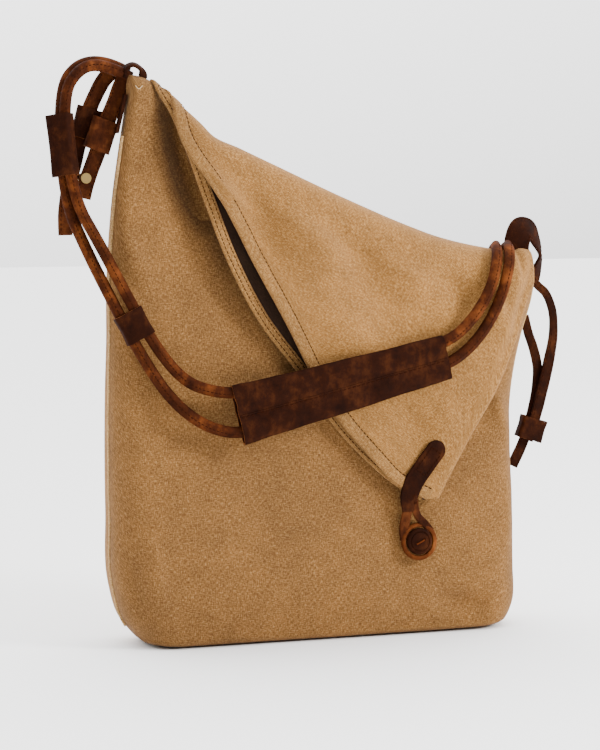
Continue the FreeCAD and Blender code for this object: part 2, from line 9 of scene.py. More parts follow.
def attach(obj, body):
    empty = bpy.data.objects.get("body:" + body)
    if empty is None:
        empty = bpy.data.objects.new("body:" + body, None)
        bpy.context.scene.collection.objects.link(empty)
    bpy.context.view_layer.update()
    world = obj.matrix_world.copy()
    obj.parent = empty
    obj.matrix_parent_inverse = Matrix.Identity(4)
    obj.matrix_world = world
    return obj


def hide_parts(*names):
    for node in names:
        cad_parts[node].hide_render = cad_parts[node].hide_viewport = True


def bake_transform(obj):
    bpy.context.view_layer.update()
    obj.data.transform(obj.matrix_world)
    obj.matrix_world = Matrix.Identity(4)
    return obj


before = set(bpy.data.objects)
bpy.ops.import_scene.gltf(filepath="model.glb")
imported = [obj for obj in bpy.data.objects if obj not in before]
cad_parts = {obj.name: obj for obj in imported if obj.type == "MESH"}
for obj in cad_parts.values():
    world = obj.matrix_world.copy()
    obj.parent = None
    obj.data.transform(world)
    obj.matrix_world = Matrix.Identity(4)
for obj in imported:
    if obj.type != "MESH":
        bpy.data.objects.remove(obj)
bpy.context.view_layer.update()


# Lengths below are in millimetres in the part's own frame, with +X to the right and -Y the front.
MM = 0.001


# -------- curves and noise

def unit(vectors):
    vectors = np.asarray(vectors, float)
    return vectors / np.linalg.norm(vectors, axis=-1, keepdims=True)


def clamp(value):
    return np.clip(value, 0, 1)


def run_along(line):
    """How far along the line each of its points is."""
    return np.concatenate([[0], np.cumsum(np.linalg.norm(np.diff(line, axis=0), axis=1))])


def at_run(line, run, want):
    """The line's points, or what goes with them, at the wanted distances along it."""
    return np.stack([np.interp(want, run, line[:, i]) for i in range(line.shape[1])], -1)


def xyz(x, y, z):
    """Points from their coordinates, each an array or one value."""
    return np.stack(np.broadcast_arrays(x, y, z), -1)


def smooth(points, count):
    """Points spaced evenly along a smooth line through the given ones."""
    p = np.array(points, float)
    t = run_along(p)
    m = np.gradient(p, t, axis=0)
    fine = np.linspace(0, t[-1], 60 * len(p))
    k = np.clip(np.searchsorted(t, fine, "right") - 1, 0, len(p) - 2)
    h = (t[k + 1] - t[k])[:, None]
    s = ((fine - t[k])[:, None]) / h
    line = ((2 * s ** 3 - 3 * s ** 2 + 1) * p[k] + (s ** 3 - 2 * s ** 2 + s) * h * m[k]
            + (3 * s ** 2 - 2 * s ** 3) * p[k + 1] + (s ** 3 - s ** 2) * h * m[k + 1])
    run = run_along(line)
    return at_run(line, run, np.linspace(0, 1, count) * run[-1])


def ease(value, low, high):
    t = clamp((np.asarray(value, float) - low) / (high - low))
    return t * t * (3 - 2 * t)


def field(x, z, scale, seed, detail=2):
    """Smooth seeded noise over two coordinates, about -1 to 1."""
    x, z = np.broadcast_arrays(np.asarray(x, float), np.asarray(z, float))
    flat = [noise.fractal(Vector((a / scale, b / scale, seed * 7.31)), 1.0, 2.0, detail)
            for a, b in zip(x.ravel(), z.ravel())]
    return np.array(flat).reshape(x.shape)


def fold(x, z, start, end, width, height):
    """A soft ridge (or valley, for a negative height) along a segment."""
    ax, az = start
    bx, bz = end
    dx, dz = bx - ax, bz - az
    t = clamp(((x - ax) * dx + (z - az) * dz) / (dx * dx + dz * dz))
    away = np.hypot(x - ax - t * dx, z - az - t * dz)
    fade = np.sin(t * math.pi).clip(0) ** 0.9
    return height * fade * np.exp(-(away / width) ** 2)


def folds(x, z, table):
    return sum(fold(x, z, *row) for row in table)


# -------- meshes

def linked(name, data):
    obj = bpy.data.objects.new(name, data)
    bpy.context.scene.collection.objects.link(obj)
    return obj


def mesh_object(name, verts, faces, materials, face_material=None, uv=None):
    mesh = bpy.data.meshes.new(name)
    mesh.from_pydata((np.asarray(verts) * MM).tolist(), [], [tuple(int(i) for i in f) for f in faces])
    for m in materials:
        mesh.materials.append(m)
    if face_material is not None:
        mesh.polygons.foreach_set("material_index", np.asarray(face_material, np.int32))
    mesh.polygons.foreach_set("use_smooth", np.ones(len(mesh.polygons), bool))
    if uv is not None:
        layer = mesh.uv_layers.new(name="cloth")
        loops = np.zeros(len(mesh.loops), np.int32)
        mesh.loops.foreach_get("vertex_index", loops)
        layer.data.foreach_set("uv", np.asarray(uv, np.float32)[loops].ravel())
    mesh.update()
    return linked(name, mesh)


def grid_faces(rows, cols, wrap=False, base=0):
    index = np.arange(rows * cols).reshape(rows, cols) + base
    if wrap:
        index = np.concatenate([index, index[:, :1]], 1)
    return np.stack([index[:-1, :-1], index[:-1, 1:], index[1:, 1:], index[1:, :-1]], -1).reshape(-1, 4)


def wall_faces(rows, around):
    """Faces of a short tube's outer and inner skins and, marked 1, of the two raw ends between them."""
    inner = rows * around
    faces = grid_faces(rows, around, wrap=True).tolist()
    faces += grid_faces(rows, around, wrap=True, base=inner)[:, ::-1].tolist()
    marks = [0] * len(faces) + [1] * (2 * around)
    for start in (0, inner - around):
        for j in range(around):
            near, far = start + j, start + (j + 1) % around
            faces.append((near, far, inner + far, inner + near))
    return faces, marks


def cloth(name, grid, material, turn=0.0, thickness=1.8, flip=False,
          backing=None, marks=None, gathered=1.0):
    """A sheet of cloth over a grid of points; turn is the angle of its weave in degrees.

    With a backing, the sheet's other side and the faces marked 1 take that second material.
    Gathered says, row by row, how many times longer the weave is than the cloth lies, as in
    a tight crease that can open.
    """
    rows, cols = grid.shape[:2]
    flat = grid.reshape(-1, 3)
    # The weave is measured over the cloth itself, so that it isn't stretched where that turns away.
    over = np.zeros((rows, cols))
    over[:, 1:] = np.cumsum(np.hypot(np.diff(grid[..., 0], axis=1), np.diff(grid[..., 1], axis=1)), 1)
    over += (grid[..., 0] - over)[:, cols // 2:cols // 2 + 1]
    down = np.zeros((rows, cols))
    steps = np.hypot(np.diff(grid[..., 1], axis=0), np.diff(grid[..., 2], axis=0))
    down[1:] = -np.cumsum(steps * np.reshape(gathered, (-1, 1)), 0)
    a = math.radians(turn)
    uv = np.stack([over * math.cos(a) + down * math.sin(a), down * math.cos(a) - over * math.sin(a)], -1)
    uv = uv.reshape(-1, 2) * MM
    faces = grid_faces(rows, cols)
    if flip:
        faces = faces[:, ::-1]
    obj = mesh_object(name, flat, faces, [material] + ([backing] if backing else []), marks, uv)
    shell = obj.modifiers.new("thickness", "SOLIDIFY")
    shell.material_offset = 1 if backing else 0
    shell.material_offset_rim = 1 if backing else 0
    shell.thickness = thickness * MM
    shell.offset = -1
    return obj


def frames(line, face):
    """Tangent, sideways and face directions along a line; face is the wanted facing, one or per point."""
    tangent = unit(np.gradient(line, axis=0))
    face = np.broadcast_to(np.asarray(face, float), line.shape)
    up = unit(face - (face * tangent).sum(1)[:, None] * tangent)
    return tangent, np.cross(up, tangent), up


def sweep(name, line, face, profile, materials, scale=None, edge_material=None):
    """A closed profile of (sideways, outward) points swept along a line. Scale is per point, (n, 2)."""
    line = np.asarray(line, float)
    n, k = len(line), len(profile)
    tangent, side, up = frames(line, face)
    profile = np.asarray(profile, float)
    scale = np.ones((n, 2)) if scale is None else np.asarray(scale, float)
    rings = (line[:, None] + side[:, None] * (profile[None, :, 0] * scale[:, :1])[..., None]
             + up[:, None] * (profile[None, :, 1] * scale[:, 1:])[..., None])
    verts = rings.reshape(-1, 3)
    faces = grid_faces(n, k, wrap=True).tolist()
    faces += [tuple(range(k)), tuple(range((n - 1) * k, n * k))[::-1]]
    uv = np.stack([np.repeat(run_along(line), k), np.tile(run_along(profile), n)], 1) * MM
    marks = None if edge_material is None else [0] * ((n - 1) * k) + [edge_material] * 2
    obj = mesh_object(name, verts, faces, materials, marks, uv)
    tidy_normals(obj)
    return obj


def tidy_normals(obj):
    work = bmesh.new()
    work.from_mesh(obj.data)
    bmesh.ops.recalc_face_normals(work, faces=work.faces)
    work.to_mesh(obj.data)
    work.free()
    obj.data.set_sharp_from_angle(angle=math.radians(50))


def rounded(width, depth, radius, steps=5, centre=(0, 0)):
    """Points of a rounded rectangle."""
    out = []
    radius = min(radius, width / 2 - 1e-3, depth / 2 - 1e-3)
    for sx, sy, start in ((1, 1, 0), (-1, 1, 90), (-1, -1, 180), (1, -1, 270)):
        cx, cy = sx * (width / 2 - radius), sy * (depth / 2 - radius)
        for i in range(steps + 1):
            a = math.radians(start + 90 * i / steps)
            out.append((centre[0] + cx + radius * math.cos(a), centre[1] + cy + radius * math.sin(a)))
    return np.array(out)


FLATTENED = 0.7


def stitch_row(name, line, face, material, length=3.0, gap=0.75, radius=0.36, lift=0.1):
    """A row of sewn stitches: small rounded bars laid along a line."""
    line = np.asarray(line, float)
    run = run_along(line)
    face = np.broadcast_to(np.asarray(face, float), line.shape)
    verts, faces = [], []
    rings = np.array([-1, -0.86, -0.4, 0.4, 0.86, 1.0])
    girth = np.array([0.1, 0.75, 1.0, 1.0, 0.75, 0.1])
    sides = 6
    for k in range(int(run[-1] / (length + gap))):
        s = (k + 0.5) * (length + gap)
        a, b = at_run(line, run, s - length / 2), at_run(line, run, s + length / 2)
        t = unit(b - a)
        facing = at_run(face, run, s)
        up = unit(facing - (facing @ t) * t)
        side = np.cross(up, t)
        base = len(verts)
        for r, g in zip(rings, girth):
            centre = (a + b) / 2 + t * r * length / 2 + up * (lift - 0.35 * radius * r * r)
            for j in range(sides):
                q = 2 * math.pi * j / sides
                verts.append(centre + (side * math.cos(q) + up * math.sin(q) * FLATTENED) * radius * g)
        faces += grid_faces(len(rings), sides, wrap=True, base=base).tolist()
    return mesh_object(name, verts, faces, [material])


# -------- materials

def new_material(name):
    material = bpy.data.materials.new(name)
    material.use_nodes = True
    tree = material.node_tree
    shader = next(n for n in tree.nodes if n.type == "BSDF_PRINCIPLED")
    return material, tree, shader


def add(tree, kind, **values):
    node = tree.nodes.new(kind)
    for key, value in values.items():
        if key in node.inputs:
            node.inputs[key].default_value = value
        else:
            setattr(node, key, value)
    return node


def set_inputs(node, **values):
    for key, value in values.items():
        node.inputs[key.replace("_", " ")].default_value = value


def noise_at(tree, coords, scale, stretch=(1, 1, 1), detail=2.0, rough=0.5, turn=0.0):
    mapping = add(tree, "ShaderNodeMapping", Scale=stretch, Rotation=(0, 0, turn))
    tree.links.new(coords, mapping.inputs["Vector"])
    node = add(tree, "ShaderNodeTexNoise", Scale=scale, Detail=detail, Roughness=rough)
    tree.links.new(mapping.outputs["Vector"], node.inputs["Vector"])
    return node.outputs["Fac"]


def feed(tree, socket, value):
    """Set a socket to a number or a colour, or link another one to it."""
    if isinstance(value, (int, float)):
        socket.default_value = value
    elif isinstance(value, tuple):
        socket.default_value = (*value, 1)
    else:
        tree.links.new(value, socket)


def math_node(tree, operation, a, b):
    node = add(tree, "ShaderNodeMath", operation=operation)
    for socket, value in zip(node.inputs, (a, b)):
        feed(tree, socket, value)
    return node.outputs[0]


def weighted(tree, a, share_a, b, share_b):
    return math_node(tree, "ADD", math_node(tree, "MULTIPLY", a, share_a),
                     math_node(tree, "MULTIPLY", b, share_b))


def ramp(tree, source, stops):
    node = add(tree, "ShaderNodeValToRGB")
    elements = node.color_ramp.elements
    while len(elements) < len(stops):
        elements.new(0.5)
    for element, (position, colour) in zip(elements, stops):
        element.position = position
        element.color = (*colour, 1)
    tree.links.new(source, node.inputs["Fac"])
    return node.outputs["Color"]


def mix(tree, factor, a, b, blend="MIX"):
    node = add(tree, "ShaderNodeMix", data_type="RGBA", blend_type=blend)
    # Sockets 0, 6 and 7 are the factor and the two colours, and output 2 is the mixed one.
    for index, value in zip((0, 6, 7), (factor, a, b)):
        feed(tree, node.inputs[index], value)
    return node.outputs[2]


def bump(tree, shader, height, strength, distance):
    node = add(tree, "ShaderNodeBump", Strength=strength, Distance=distance)
    tree.links.new(height, node.inputs["Height"])
    tree.links.new(node.outputs["Normal"], shader.inputs["Normal"])


GRAIN_SHARE = 0.7
# The near-black colour of the shade painted into the front canvas's fold.
PAINTED_SHADE_COLOUR = (0.010, 0.0022, 0.0010)


def canvas_material(name, dark, light, worn):
    """Heavy plain-weave canvas: slubby threads in two directions, patchy wear, and painted shade where a
    mesh has a crease attribute.
    """
    material, tree, shader = new_material(name)
    uv = add(tree, "ShaderNodeTexCoord").outputs["UV"]
    warp = noise_at(tree, uv, 1150, (1, 0.3, 1), 3)
    weft = noise_at(tree, uv, 1150, (0.3, 1, 1), 3)
    grain = noise_at(tree, uv, 1500, (1, 1, 1), 2)
    crossed = math_node(tree, "ADD", warp, weft)
    threads = math_node(tree, "ADD", crossed, math_node(tree, "MULTIPLY", grain, GRAIN_SHARE))
    threads = math_node(tree, "DIVIDE", threads, 2 + GRAIN_SHARE)
    patches = noise_at(tree, uv, 9, (1, 1, 1), 5, 0.62)
    fine = noise_at(tree, uv, 60, (1, 1, 1), 4, 0.6)
    base = ramp(tree, threads, [(0.38, dark), (0.5, light), (0.62, worn)])
    soft = ramp(tree, patches, [(0.3, (0.78, 0.78, 0.79)), (0.7, (1.14, 1.12, 1.08))])
    mottle = ramp(tree, fine, [(0.3, (0.88, 0.88, 0.88)), (0.7, (1.1, 1.1, 1.1))])
    colour = mix(tree, 1.0, mix(tree, 1.0, base, soft, "MULTIPLY"), mottle, "MULTIPLY")
    # Painted shade: the crease attribute mixes the colour towards near black deep in the fold.
    crease = add(tree, "ShaderNodeAttribute", attribute_name="crease").outputs["Fac"]
    colour = mix(tree, crease, colour, PAINTED_SHADE_COLOUR)
    tree.links.new(colour, shader.inputs["Base Color"])
    set_inputs(shader, Roughness=0.88, Specular_IOR_Level=0.12, Sheen_Weight=0.04)
    bump(tree, shader, threads, 0.55, 0.0007)
    return material


def leather_material(name, dark, mid, light, roughness):
    """Waxed, oiled leather with pulled-up lighter patches and fine pores."""
    material, tree, shader = new_material(name)
    place = add(tree, "ShaderNodeTexCoord").outputs["Object"]
    patches = noise_at(tree, place, 55, (1, 1, 1), 6, 0.66)
    pores = noise_at(tree, place, 1040, (1, 1, 1), 3, 0.6)
    scuffs = noise_at(tree, place, 150, (1, 0.5, 0.5), 4, 0.7, 0.6)
    blend = weighted(tree, patches, 0.68, scuffs, 0.32)
    colour = ramp(tree, blend, [(0.34, dark), (0.5, mid), (0.68, light)])
    tree.links.new(colour, shader.inputs["Base Color"])
    gloss = ramp(tree, scuffs, [(0.3, (roughness - 0.1,) * 3), (0.7, (roughness + 0.14,) * 3)])
    tree.links.new(gloss, shader.inputs["Roughness"])
    set_inputs(shader, Specular_IOR_Level=0.03)
    bump(tree, shader, weighted(tree, pores, 0.5, scuffs, 0.8), 0.4, 0.0006)
    return material


def plain_material(name, colour, roughness, metallic=0.0):
    material, _, shader = new_material(name)
    set_inputs(shader, Base_Color=(*colour, 1), Roughness=roughness, Metallic=metallic,
               Specular_IOR_Level=0.5 if metallic else 0.02)
    return material


# Each takes its dark, middle and worn colours, and a leather also its roughness.
canvas = canvas_material(
    "canvas", (0.082, 0.034, 0.0085), (0.163, 0.075, 0.0205), (0.30, 0.160, 0.055))
# A lighter copy of the canvas, painted light: the flap is brighter where the key light falls on it, and the
# back panel, which runs on into the flap, takes it too.
canvas_with_painted_light = canvas_material(
    "canvas_with_painted_light", (0.120, 0.050, 0.012), (0.228, 0.106, 0.027), (0.40, 0.213, 0.072))
hem_canvas = canvas_material(
    "hem_canvas", (0.12, 0.052, 0.014), (0.215, 0.104, 0.030), (0.37, 0.205, 0.075))
seam_canvas = canvas_material(
    "seam_canvas", (0.22, 0.12, 0.042), (0.38, 0.225, 0.09), (0.54, 0.36, 0.18))
# The lining's dark brown is its own colour, made near black to paint the shade seen in the mouth's gap.
lining = canvas_material(
    "lining", (0.012, 0.0050, 0.0022), (0.022, 0.0095, 0.0042), (0.038, 0.018, 0.008))
dark_leather = leather_material(
    "dark_leather", (0.0070, 0.0017, 0.0007), (0.0175, 0.0043, 0.0015), (0.052, 0.0148, 0.0046), 0.70)
strap_leather = leather_material(
    "strap_leather", (0.0130, 0.0031, 0.0011), (0.040, 0.0100, 0.0028), (0.110, 0.032, 0.0085), 0.66)
cord_leather = leather_material(
    "cord_leather", (0.0120, 0.0028, 0.0010), (0.040, 0.0096, 0.0026), (0.150, 0.041, 0.0095), 0.66)
raw_edge = leather_material(
    "raw_edge", (0.060, 0.017, 0.004), (0.15, 0.046, 0.011), (0.27, 0.10, 0.030), 0.7)
brass = plain_material("brass", (0.30, 0.205, 0.075), 0.42, 1.0)
brown_thread = plain_material("brown_thread", (0.020, 0.0048, 0.0016), 0.9)
rust_thread = plain_material("rust_thread", (0.085, 0.020, 0.005), 0.9)
pale_thread = plain_material("pale_thread", (0.42, 0.30, 0.17), 0.9)
ring_leather = leather_material(
    "ring_leather", (0.028, 0.0066, 0.0016), (0.085, 0.022, 0.0050), (0.20, 0.062, 0.015), 0.66)

# -------- the pouch

POUCH_SECTIONS = [
    # height, left edge, right edge
    (0, -145, 171), (8, -152, 176), (20, -161, 180), (50, -170, 180), (110, -172, 179),
    (215, -172, 180), (250, -171, 188), (285, -171, 198), (330, -169, 200), (365, -166, 200),
    (405, -160.5, 200), (440, -155, 200), (480, -148, 200),
]
RIDGE = [
    # x, height
    (-165, 465.5), (-149, 465), (-138, 462.5), (-128, 457), (-119, 448), (-107, 437.5), (-95, 427),
    (-85, 417), (-61, 406), (-35, 394), (-9, 382), (43, 359), (79, 344), (114, 331.5), (151, 323),
    (170, 320), (192, 320), (215, 318),
]
RIDGE_SLOPE_LEFT = -0.87
FRONT_SLOPE, KNEE, BASE_HALF_DEPTH, KNEE_HALF_DEPTH = 0.08, 40.0, 36.0, 40.0
# How much further along -Y the same distance off the slanting front is.
SLANT = 1.0032
FOLD_CENTRE = -6.0
NORMAL = np.array([0.0, -0.9968, 0.0797])
# From these x on, the pouch's top leaves the high corner and goes under the fold.
CORNER_END = (-113, -98)
CURL, FOLD_DROP, EDGE_RADIUS, LINING_INSET = 13.0, 30.0, 5.0, 4.4
CORNER_STEPS, LIFT_ENDS = 8, 60

side_line = smooth(POUCH_SECTIONS, 400)
ridge_line = smooth(RIDGE, 400)


def left_edge(z):
    return np.interp(z, side_line[:, 0], side_line[:, 1])


def right_edge(z):
    return np.interp(z, side_line[:, 0], side_line[:, 2])


def ridge(x):
    return np.interp(x, ridge_line[:, 0], ridge_line[:, 1])


def half_depth(z):
    bulge = np.sin(clamp(z / KNEE) * math.pi / 2)
    low = BASE_HALF_DEPTH + (KNEE_HALF_DEPTH - BASE_HALF_DEPTH) * bulge
    return np.where(z < KNEE, low, KNEE_HALF_DEPTH - FRONT_SLOPE * (z - KNEE))


def fold_radius(z):
    return (half_depth(z) - FOLD_CENTRE) / (1 - FRONT_SLOPE)


def plane_y(z, offset):
    return -KNEE_HALF_DEPTH + FRONT_SLOPE * (z - KNEE) - offset * SLANT


def section(u, z, inset=0.0):
    """Half of the pouch's outline at a height: x, depth outwards, and how far it faces outwards."""
    depth = half_depth(z) - inset
    left, right = left_edge(z) + inset, right_edge(z) - inset
    radius = 0.80 * depth
    flat, bend = 0.02, 0.11
    mirrored = u > 0.5
    s = np.where(mirrored, 1 - u, u)
    along_side = clamp(s / flat)
    angle = clamp((s - flat) / bend) * math.pi / 2
    across = clamp((s - flat - bend) / (0.5 - flat - bend))
    reach_in = radius * (1 - np.cos(angle)) + across * ((right - left) / 2 - radius)
    x = np.where(mirrored, right - reach_in, left + reach_in)
    out = (depth - radius) * along_side + radius * np.sin(angle)
    return x, out, np.sin(angle)


def pouch_half(side, columns, rows, inset=0.0):
    """Grid from the middle of the base, out and up one half of the pouch; side is -1 in front."""
    u = np.linspace(0, 1, columns)[None, :]
    z = np.full_like(u, 300.0)
    # The top's height follows from x and x from the height, so a few rounds settle both.
    for _ in range(12):
        x, _, _ = section(u, z, inset)
        corner = 1 - ease(x, *CORNER_END)
        open_top = ridge(x) - (FOLD_DROP if side < 0 else fold_radius(ridge(x)))
        z = corner * ridge(x) + (1 - corner) * open_top
    curl = CURL * corner + 0.01
    round_end = 9.0 * (1 - ease(u, 0.0, 0.05))
    top = z - curl - round_end - inset
    lines = []
    base_x = section(u, z * 0)[0]
    # Lifted by the canvas's own thickness, and a little more towards the right.
    lift = 1.85 + 0.7 * ease(base_x, 20, 150) * (0.6 + 0.4 * np.sin(base_x / 21))
    for s in np.linspace(0, 1, CORNER_STEPS)[:-1]:
        x, out, _ = section(u, 0 * z, inset + EDGE_RADIUS)
        lines.append(xyz(x, side * out * s, lift + inset))
    for a in np.linspace(0, math.pi / 2, CORNER_STEPS)[:-1]:
        height = EDGE_RADIUS * (1 - math.cos(a)) + 0 * z
        x, out, _ = section(u, height, inset + EDGE_RADIUS * (1 - math.sin(a)))
        lines.append(xyz(x, side * out, height + lift * (1 - height / LIFT_ENDS) + inset))
    for s in np.linspace(0, 1, rows):
        height = EDGE_RADIUS + (top - EDGE_RADIUS) * s
        x, out, facing = section(u, height, inset)
        y = side * (out + relief(x, height, side, facing))
        lines.append(xyz(x, y, height + lift * clamp(1 - height / LIFT_ENDS) + inset))
    last = lines[-1]
    for a in np.linspace(0, math.pi / 2, CORNER_STEPS)[1:]:
        y = last[..., 1] * (1 - (1 - math.cos(a)) * corner)
        lines.append(xyz(last[..., 0], y, last[..., 2] + curl * math.sin(a)))
    return np.concatenate(lines, 0)


MOUTH_EDGE = [113, 160, 218, 315, 405, 440], [102, 52, 7, -59, -111, -128]
# Each fold: start, end, width and height, where a hollow's height is negative.
FRONT_FOLDS = [
    ((-121, 464), (-84, 336), 16, -20), ((-112, 400), (-40, 230), 30, -4),
    ((-140, 420), (-122, 330), 12, 3.5), ((-152, 380), (-100, 250), 20, -2.5),
    ((-166, 345), (-140, 300), 7, 3.0), ((-170, 318), (-146, 282), 6, -2.8),
    ((-168, 292), (-140, 262), 7, 2.6), ((-164, 90), (-150, 22), 6, -4.0),
    ((-146, 100), (-136, 30), 7, 3.0), ((96, 28), (150, 20), 9, -6),
    ((174, 130), (168, 60), 8, 4.0), ((150, 215), (176, 150), 8, 5.0),
]
BACK_FOLDS = [((-121, 464), (-84, 330), 24, 12)]


def relief(x, z, side, facing):
    """How far the soft canvas of the pouch stands out from its plain outline."""
    wave = 2.4 * field(x, z, 105, 3 if side < 0 else 5) + 0.5 * field(x, z, 26, 9 if side < 0 else 11)
    wide = np.sin(clamp((x + 175) / 360) * math.pi)
    crown = 5.0 * wide * np.sin(clamp((z - 10) / 260) * math.pi)
    result = wave + crown * (1 if side > 0 else 0.5)
    if side < 0:
        mouth = ease(x - np.interp(z, *MOUTH_EDGE), -70, 0)
        result = result * (1 - mouth * ease(z, 90, 130)) - 1.5 * mouth - 5.0 * mouth * ease(z, 235, 320)
        result += 9.0 * (1 - ease(x, -140, -104)) * ease(z - ridge(x), -75, -14)
    result += folds(x, z, FRONT_FOLDS if side < 0 else BACK_FOLDS)
    return result * facing


front_grid_points = pouch_half(-1, 220, 230)
front_canvas = cloth("canvas_front", front_grid_points, canvas)
# Painted shade: the front canvas is painted near black deep in the fold under the high corner, where the
# flap's shadow falls.
PAINTED_SHADE_FOLDS = [((-122, 462), (-96, 358), 10, 1.0), ((-114, 415), (-66, 295), 15, 0.5)]
point_x, point_y, point_z = front_grid_points.reshape(-1, 3).T
painted_shade = np.where(point_y < 0, np.clip(folds(point_x, point_z, PAINTED_SHADE_FOLDS), 0, 0.93), 0)
painted_shade_layer = front_canvas.data.attributes.new("crease", "FLOAT", "POINT")
painted_shade_layer.data.foreach_set("value", painted_shade.astype(np.float32))
back_canvas = cloth("canvas_back", pouch_half(1, 170, 150), canvas_with_painted_light, flip=True)
lining_front = cloth("lining_front_cloth", pouch_half(-1, 150, 140, LINING_INSET), lining, thickness=0.8)
lining_back = cloth("lining_back_cloth", pouch_half(1, 130, 110, LINING_INSET), lining,
                    thickness=0.8, flip=True)
for piece, node, slot in (
        (front_canvas, "front_panel", "canvas"), (back_canvas, "back_panel", "canvas"),
        (lining_front, "lining_front", "lining"), (lining_back, "lining_back", "lining")):
    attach(piece, "pouch")
    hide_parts(node)

# -------- the fold and the flap

OUTER_HEM = [
    (-119, 432), (-114, 411), (-94, 379), (-74, 347), (-58, 315), (-31, 264), (17, 180), (42, 151),
    (61, 131), (90, 115.5)]
INNER_HEM = [
    (-133, 458), (-129, 449), (-122.5, 437), (-113.5, 412.5), (-98, 368.5), (-78.5, 316),
    (-52.5, 267), (-15, 218), (13, 177), (40, 148), (66, 126), (86, 114)]
FLAP_RIGHT = [(97, 117), (111, 142), (128, 172), (147, 201), (163, 229), (174, 251), (184, 274), (192, 294)]


def mouth_lift(z):
    """The mouth gapes: above the grip both edges of the flap stand further off the pouch."""
    return 7.5 * ease(z, 200, 330) * (1 - ease(z, 410, 448))


FLAP_FOLDS = [
    ((-66, 392), (-30, 296), 17, -9.5), ((-34, 388), (24, 296), 19, 8.0),
    ((-90, 400), (-68, 350), 13, 7.0), ((8, 364), (64, 264), 16, -7.5),
    ((58, 348), (94, 286), 17, 6.5), ((-20, 300), (60, 215), 22, 5.5),
    ((118, 322), (128, 258), 13, -6.0), ((150, 304), (168, 240), 8, 5.5),
    ((169, 312), (160, 246), 6, -4.4), ((62, 212), (92, 150), 11, -3.6), ((96, 192), (122, 174), 10, 3.0),
]


def flap_relief(x, z):
    """How far the flap's outer canvas stands out from its flat lie."""
    wave = 2.2 * field(x, z, 85, 21) + 0.45 * field(x, z, 22, 23)
    inside = 3.5 * ease(z - np.interp(x, [-128, -59, 7, 102], [440, 315, 218, 113]), 8, 70)
    inside *= 1 - ease(z - ridge(x), -60, -20)
    from_hem = x - np.interp(z, [116, 180, 264, 315, 379, 411], [90, 17, -31, -58, -94, -114])
    result = wave + inside + mouth_lift(z) * np.exp(-(from_hem / 26) ** 2)
    return result + folds(x, z, FLAP_FOLDS)


def patch(top, left, right, rows):
    """A Coons patch between a top edge and two sides that run down to a narrow tip."""
    columns = len(top)
    left, right = smooth(left, rows), smooth(right, rows)
    bottom = left[-1] + (right[-1] - left[-1]) * np.linspace(0, 1, columns)[:, None]
    u = np.linspace(0, 1, columns)[None, :, None]
    v = np.linspace(0, 1, rows)[:, None, None]
    ruled = (1 - v) * top[None] + v * bottom[None] + (1 - u) * left[:, None] + u * right[:, None]
    corners = (1 - u) * (1 - v) * top[0] + u * (1 - v) * top[-1]
    corners = corners + (1 - u) * v * bottom[0] + u * v * bottom[-1]
    return ruled - corners


COLUMNS, FLAP_ROWS, ARCH_ROWS, LAP_ROWS, OUTER_OFFSET = 190, 190, 26, 5, 12.0
OVER_BACK = 0.4
ridge_x = np.linspace(-119, 194, COLUMNS)
ridge_z = ridge(ridge_x)
arch_radius = fold_radius(ridge_z)
pinch = 1 - 0.55 * ease(ridge_x, 168, 194) ** 2 - 0.10 * (1 - ease(ridge_x, -119, -104))
top_edge = np.stack([ridge_x, ridge_z - arch_radius], 1)
front_grid = patch(top_edge, [tuple(top_edge[0])] + OUTER_HEM[1:],
                   [tuple(top_edge[-1])] + FLAP_RIGHT[::-1][1:], FLAP_ROWS)
gx, gz = front_grid[..., 0], front_grid[..., 1]
rows_down = np.linspace(0, 1, FLAP_ROWS)[:, None]
near_fold = ease(rows_down, 0.0, 0.10)
stand = flap_relief(gx, gz) * near_fold
tuck = (arch_radius * (1 - pinch))[None, :] * (1 - ease(rows_down, 0.0, 0.55))
flap_front = xyz(gx, plane_y(gz, OUTER_OFFSET + stand) + tuck, gz)
angles = np.linspace(0, math.pi, ARCH_ROWS)[:, None]
pucker = 0.10 * np.exp(-((ridge_x - 189) / 3.5) ** 2) - 0.16 * np.exp(-((ridge_x - 182) / 2.6) ** 2)
ripple = 1 + (0.05 * field(ridge_x, 0 * ridge_x, 40, 31) + pucker * 2.2)[None, :] * np.sin(angles)
arch_y = FOLD_CENTRE + arch_radius[None] * pinch[None] * np.cos(angles) * ripple
back_shift = (arch_radius * (1 - pinch))[None] * clamp(np.cos(angles))
arch_z = (ridge_z - arch_radius)[None] + arch_radius[None] * np.sin(angles) * (1 + 0.15 * (ripple - 1))
on_back = relief(ridge_x, arch_z, 1, clamp(np.cos(angles))) + OVER_BACK
arch = xyz(ridge_x, arch_y + back_shift + on_back, arch_z)
low_z = (ridge_z - arch_radius)[None] - np.linspace(14, 2, LAP_ROWS)[:, None]
lap = xyz(ridge_x, half_depth(low_z) + (relief(ridge_x, low_z, 1, 1.0) + OVER_BACK), low_z)
outer_grid = np.concatenate([lap, arch, flap_front[1:]], 0)
# The right edge rolls in towards the inner layer.
outward = np.array([0.93, 0.0, -0.36])
roll = [outer_grid + outward * 4.0 * math.sin(a) + np.array([0, 4.4 * (1 - math.cos(a)), 0])
        for a in np.linspace(0, math.pi, 7)[1:]]
rolled = np.concatenate([outer_grid] + [r[:, -1:] for r in roll], 1)
outer_canvas = cloth("canvas_flap_outer", rolled, canvas_with_painted_light, turn=-43, flip=True)
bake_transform(outer_canvas)
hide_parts("fold_outer", "flap_outer")

